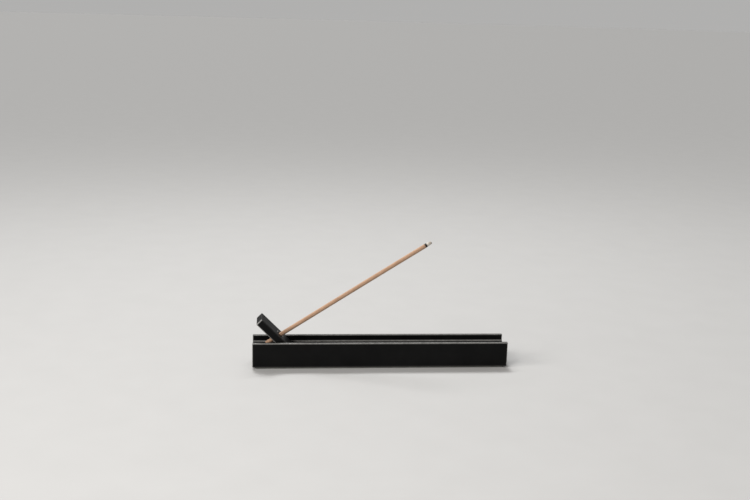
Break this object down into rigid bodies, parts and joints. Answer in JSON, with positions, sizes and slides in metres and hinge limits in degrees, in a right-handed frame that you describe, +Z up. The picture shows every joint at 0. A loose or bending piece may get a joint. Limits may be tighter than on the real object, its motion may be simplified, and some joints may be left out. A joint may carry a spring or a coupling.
{
  "type": "incense burner",
  "caption": "Long low bar with an ash groove and a slanted drilled slab that holds an incense stick over it.",
  "frame": {"origin": "on the surface it stands on, under the middle of the bar", "axes": "+X along the bar, from the end with the slab towards the end that the stick points to; +Y across the bar; +Z up"},
  "size_m": [0.25, 0.03, 0.1245],
  "materials": {
    "black_metal": "satin black coating with a fine grain, slightly rubbed at the edges",
    "felt": "grey felt",
    "incense": "dry pressed incense paste, matte, light brown",
    "char": "charred, matte black",
    "ash": "dry flaky ash, pale grey"
  },
  "bodies": {
    "base": {"base_bar": "black_metal", "foot_pad": "felt"},
    "plate": {"holder_plate": "black_metal"},
    "stick": {"incense_stick": "incense", "char_band": "char", "ash_tip": "ash"}
  },
  "joints": [
    {"name": "plate_lift", "type": "slide", "parent": "base", "child": "plate", "axis": [-0.7071, 0, 0.7071], "range_m": [0, 0.0115]},
    {"name": "stick_draw", "type": "slide", "parent": "plate", "child": "stick", "axis": [0.8415, 0, 0.5402], "range_m": [0, 0.017]}
  ]
}
